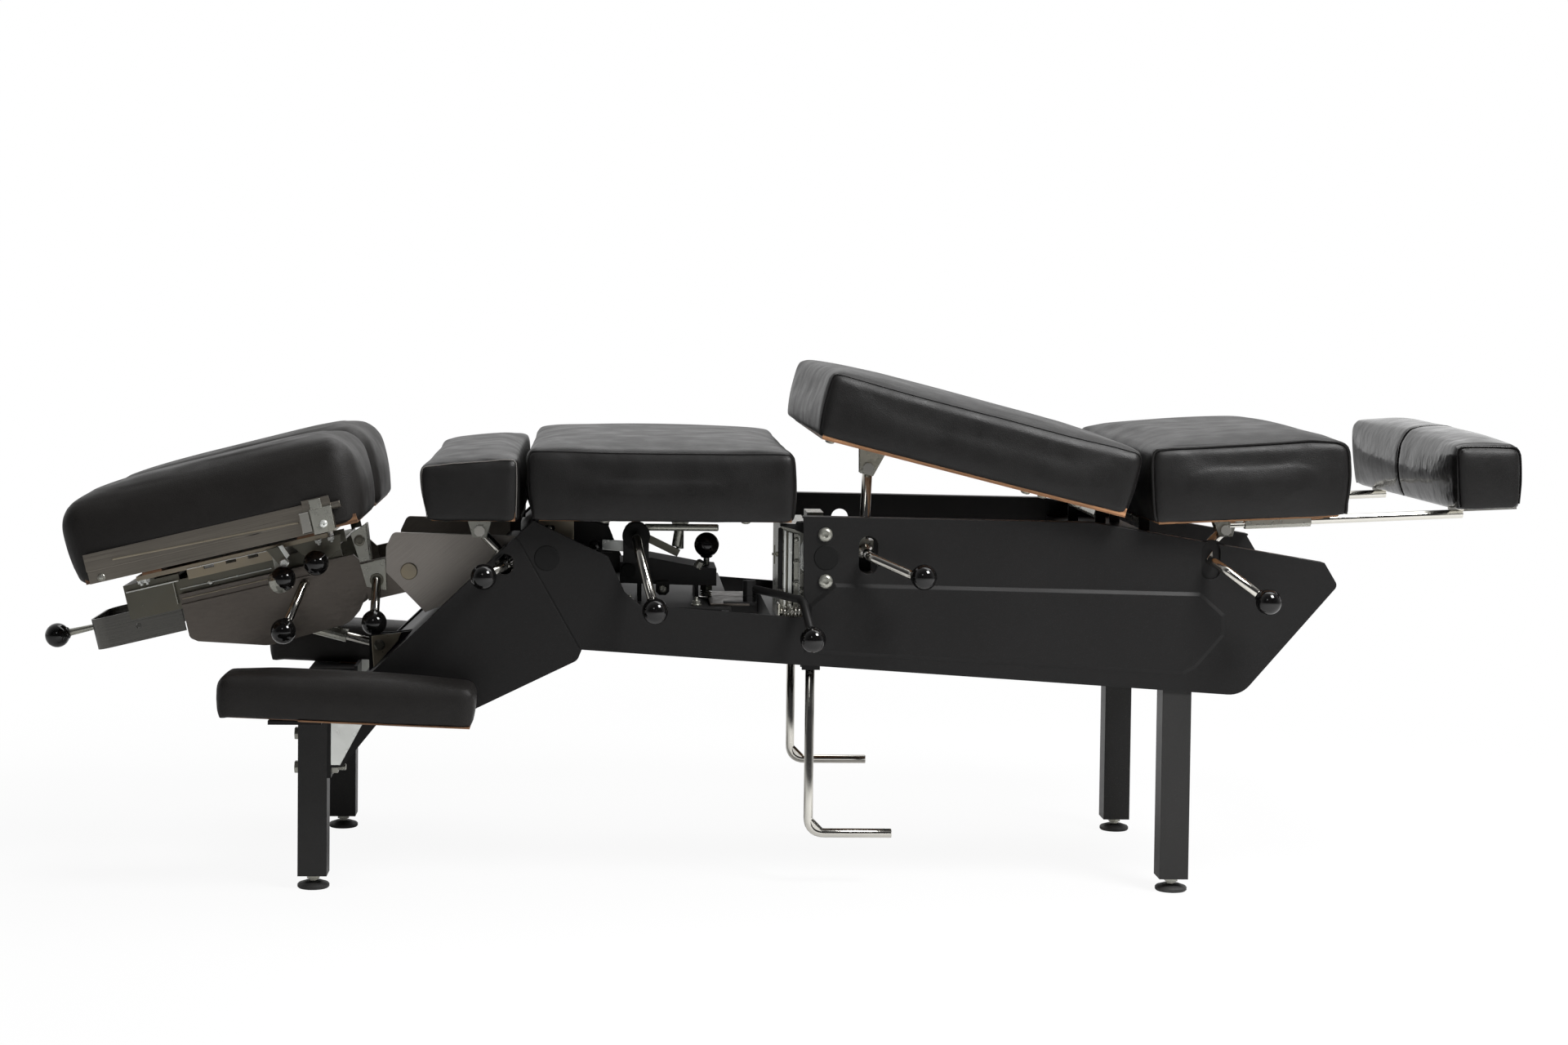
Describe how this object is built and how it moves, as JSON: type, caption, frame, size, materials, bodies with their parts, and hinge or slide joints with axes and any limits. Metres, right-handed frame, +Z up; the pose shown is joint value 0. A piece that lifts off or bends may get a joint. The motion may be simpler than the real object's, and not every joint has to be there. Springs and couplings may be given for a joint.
{
  "type": "chiropractic table",
  "caption": "Treatment table with drop, lumbar, leg and telescoping foot cushions, a tilting head section with armrests and locking levers on a steel frame.",
  "frame": {"origin": "centre of the footprint box, on the floor", "axes": "+X towards the foot end, -Y the side with the levers, +Z up"},
  "size_m": [1.9756, 0.6414, 0.6881],
  "materials": {
    "vinyl": "matt grained upholstery vinyl",
    "vinyl_gloss": "glossy upholstery vinyl",
    "plywood": "sealed birch plywood",
    "frame_black": "black textured powder coat",
    "brushed_plate": "brushed mill steel, clear coated",
    "zinc_plate": "zinc-plated steel",
    "chrome_rod": "bright plated rod",
    "knob_black": "polished black ball knob",
    "foot_rubber": "black levelling foot"
  },
  "bodies": {
    "frame": {"side_panel_near": "frame_black", "side_panel_far": "frame_black", "head_channel": "frame_black", "cross_members": "frame_black", "legs": "frame_black", "levelling_feet": "foot_rubber", "frame_bolts": "zinc_plate", "panel_plugs": "knob_black", "frame_brackets": "frame_black", "armrests": "vinyl", "drop_box": "frame_black", "drop_channel": "zinc_plate", "tilt_yoke": "brushed_plate", "tilt_pin": "zinc_plate"},
    "head_section": {"head_frame": "brushed_plate"},
    "carriage": {"head_carriage": "zinc_plate", "paper_strap": "zinc_plate", "pull_knob": "frame_black"},
    "head_drop": {"head_drop_plate": "zinc_plate"},
    "face_near": {"face_board_near": "plywood", "face_cushion_near": "vinyl", "paper_rail_near": "brushed_plate"},
    "face_far": {"face_board_far": "plywood", "face_cushion_far": "vinyl", "paper_rail_far": "brushed_plate"},
    "chest_section": {"chest_board": "plywood", "chest_cushion": "vinyl", "chest_bracket": "zinc_plate"},
    "thoracic_section": {"thoracic_board": "plywood", "thoracic_cushion": "vinyl", "thoracic_post": "zinc_plate"},
    "lumbar_section": {"lumbar_board": "plywood", "lumbar_cushion": "vinyl", "lumbar_bracket": "zinc_plate"},
    "leg_section": {"leg_board": "plywood", "leg_cushion": "vinyl", "leg_bracket": "zinc_plate"},
    "foot_section": {"foot_cushion": "vinyl_gloss", "foot_frame": "chrome_rod"},
    "chest_clamp_body": {"chest_clamp": "zinc_plate"},
    "chest_prop_rod_body": {"chest_prop_rod": "chrome_rod"},
    "chest_lever_body": {"chest_lever": "chrome_rod"},
    "lumbar_clamp_body": {"lumbar_clamp": "zinc_plate"},
    "lumbar_prop_rod_body": {"lumbar_prop_rod": "chrome_rod"},
    "lumbar_lever_body": {"lumbar_lever": "chrome_rod"},
    "leg_clamp_body": {"leg_clamp": "zinc_plate"},
    "leg_prop_rod_body": {"leg_prop_rod": "chrome_rod"},
    "leg_lever_body": {"leg_lever": "chrome_rod"},
    "thoracic_lever_body": {"thoracic_lever": "chrome_rod"},
    "tension_screw_body": {"tension_screw": "frame_black"},
    "pelvic_post_body": {"pelvic_post": "zinc_plate"},
    "release_lever_body": {"release_lever": "frame_black"},
    "pedal_near_body": {"pedal_near": "frame_black"},
    "pedal_far_body": {"pedal_far": "frame_black"},
    "strut_rod_body": {"strut_rod": "chrome_rod"},
    "strut_tube_body": {"strut_tube": "frame_black"},
    "tilt_lever_body": {"tilt_lever": "chrome_rod"},
    "extend_lever_body": {"extend_lever": "chrome_rod"},
    "head_cock_lever_body": {"head_cock_lever": "chrome_rod"},
    "spread_lever_body": {"spread_lever": "zinc_plate"}
  },
  "joints": [
    {"name": "head_tilt", "type": "hinge", "parent": "frame", "child": "head_section", "pos_m": [-0.473, 0, 0.411], "axis": [0, 1, 0], "range_deg": [-8, 14]},
    {"name": "head_extend", "type": "slide", "parent": "head_section", "child": "carriage", "axis": [-0.9724, 0, -0.2334], "range_m": [0, 0.05]},
    {"name": "head_drop", "type": "hinge", "parent": "carriage", "child": "head_drop", "pos_m": [-0.82189, 0, 0.39923], "axis": [0, 1, 0], "range_deg": [0, 2]},
    {"name": "face_spread_near", "type": "slide", "parent": "head_drop", "child": "face_near", "axis": [0, -1, 0], "range_m": [0, 0.02]},
    {"name": "face_spread_far", "type": "slide", "parent": "head_drop", "child": "face_far", "axis": [0, 1, 0], "range_m": [0, 0.02]},
    {"name": "spread_lock", "type": "hinge", "parent": "head_drop", "child": "spread_lever_body", "pos_m": [-0.6469, -0.19, 0.43712], "axis": [0, 1, 0], "range_deg": [-20, 20]},
    {"name": "head_cock", "type": "hinge", "parent": "carriage", "child": "head_cock_lever_body", "pos_m": [-0.59894, -0.114, 0.43013], "axis": [0, 1, 0], "range_deg": [-20, 20]},
    {"name": "extend_lock", "type": "hinge", "parent": "head_section", "child": "extend_lever_body", "pos_m": [-0.61337, -0.121, 0.3917], "axis": [0, 1, 0], "range_deg": [-20, 20]},
    {"name": "tilt_lock", "type": "hinge", "parent": "head_section", "child": "tilt_lever_body", "pos_m": [-0.51629, -0.121, 0.39855], "axis": [0, 1, 0], "range_deg": [-15, 15]},
    {"name": "strut_swing", "type": "hinge", "parent": "frame", "child": "strut_rod_body", "pos_m": [-0.517, -0.06, 0.303], "axis": [0, 1, 0], "range_deg": [-8.46, 14.8]},
    {"name": "strut_slide", "type": "slide", "parent": "strut_rod_body", "child": "strut_tube_body", "axis": [-0.9691, 0, 0.2467], "range_m": [-0.01619, 0.02834]},
    {"name": "chest_tilt", "type": "hinge", "parent": "frame", "child": "chest_section", "pos_m": [-0.332, 0, 0.481], "axis": [0, 1, 0], "range_deg": [-10, 0]},
    {"name": "chest_clamp_swing", "type": "hinge", "parent": "frame", "child": "chest_clamp_body", "pos_m": [-0.3425, -0.15, 0.4305], "axis": [0, 1, 0], "range_deg": [-4.21, 0]},
    {"name": "chest_prop_slide", "type": "slide", "parent": "chest_clamp_body", "child": "chest_prop_rod_body", "axis": [-0.6875, 0, 0.7262], "range_m": [-0.00753, 0]},
    {"name": "chest_lock", "type": "hinge", "parent": "frame", "child": "chest_lever_body", "pos_m": [-0.3425, -0.226, 0.4305], "axis": [0, 1, 0], "range_deg": [-20, 20]},
    {"name": "thoracic_drop", "type": "hinge", "parent": "frame", "child": "thoracic_section", "pos_m": [-0.266, 0, 0.47], "axis": [0, 1, 0], "range_deg": [-3, 0]},
    {"name": "thoracic_cock", "type": "hinge", "parent": "frame", "child": "thoracic_lever_body", "pos_m": [-0.17, -0.15, 0.464], "axis": [0, 1, 0], "range_deg": [-8.1, 0]},
    {"name": "tension_turn", "type": "hinge", "parent": "frame", "child": "tension_screw_body", "pos_m": [-0.074, -0.105, 0.447], "axis": [0, 0, 1], "continuous": true},
    {"name": "lumbar_tilt", "type": "hinge", "parent": "frame", "child": "lumbar_section", "pos_m": [0.46, 0, 0.4935], "axis": [0, 1, 0], "range_deg": [-13.3, 1]},
    {"name": "lumbar_clamp_swing", "type": "hinge", "parent": "frame", "child": "lumbar_clamp_body", "pos_m": [0.134, -0.15, 0.446], "axis": [0, 1, 0], "range_deg": [-5.11, 0.39]},
    {"name": "lumbar_prop_slide", "type": "slide", "parent": "lumbar_clamp_body", "child": "lumbar_prop_rod_body", "axis": [0.0409, 0, 0.9992], "range_m": [-0.0756, 0.00568]},
    {"name": "lumbar_lock", "type": "hinge", "parent": "frame", "child": "lumbar_lever_body", "pos_m": [0.134, -0.226, 0.446], "axis": [0, 1, 0], "range_deg": [-20, 20]},
    {"name": "leg_tilt", "type": "hinge", "parent": "frame", "child": "leg_section", "pos_m": [0.52, 0, 0.484], "axis": [0, 1, 0], "range_deg": [0, 12]},
    {"name": "leg_clamp_swing", "type": "hinge", "parent": "frame", "child": "leg_clamp_body", "pos_m": [0.586, -0.15, 0.442], "axis": [0, 1, 0], "range_deg": [0, 19.14]},
    {"name": "leg_prop_slide", "type": "slide", "parent": "leg_clamp_body", "child": "leg_prop_rod_body", "axis": [0.6968, 0, 0.7173], "range_m": [-0.01548, 0]},
    {"name": "leg_lock", "type": "hinge", "parent": "frame", "child": "leg_lever_body", "pos_m": [0.586, -0.226, 0.442], "axis": [0, 1, 0], "range_deg": [-20, 20]},
    {"name": "foot_slide", "type": "slide", "parent": "leg_section", "child": "foot_section", "axis": [0.9988, 0, 0.0489], "range_m": [-0.13, 0.05]},
    {"name": "pelvic_drop", "type": "slide", "parent": "frame", "child": "pelvic_post_body", "axis": [0, 0, 1], "range_m": [-0.012, 0], "stiffness_N_per_m": 3000, "springref_m": 0.01},
    {"name": "release_turn", "type": "hinge", "parent": "frame", "child": "release_lever_body", "pos_m": [-0.02, -0.19, 0.398], "axis": [0, 0, 1], "range_deg": [-12, 0]},
    {"name": "pedal_near_press", "type": "hinge", "parent": "frame", "child": "pedal_near_body", "pos_m": [0.062, -0.186, 0.303], "axis": [0, 1, 0], "range_deg": [0, 10], "stiffness_Nm_per_rad": 6, "springref_deg": -2.86},
    {"name": "pedal_far_press", "type": "hinge", "parent": "frame", "child": "pedal_far_body", "pos_m": [0.062, 0.186, 0.303], "axis": [0, 1, 0], "range_deg": [0, 10], "stiffness_Nm_per_rad": 6, "springref_deg": -2.86}
  ],
  "couplings": [
    {"joint": "strut_swing", "follows": "head_tilt", "ratio": 1.0569},
    {"joint": "strut_slide", "follows": "head_tilt", "m_per_rad": 0.11597},
    {"joint": "chest_clamp_swing", "follows": "chest_tilt", "ratio": 0.42085},
    {"joint": "chest_prop_slide", "follows": "chest_tilt", "m_per_rad": 0.043141},
    {"joint": "thoracic_cock", "follows": "thoracic_drop", "ratio": 2.7},
    {"joint": "lumbar_clamp_swing", "follows": "lumbar_tilt", "ratio": 0.38404},
    {"joint": "lumbar_prop_slide", "follows": "lumbar_tilt", "m_per_rad": 0.32569},
    {"joint": "leg_clamp_swing", "follows": "leg_tilt", "ratio": 1.5952},
    {"joint": "leg_prop_slide", "follows": "leg_tilt", "m_per_rad": -0.073924}
  ]
}
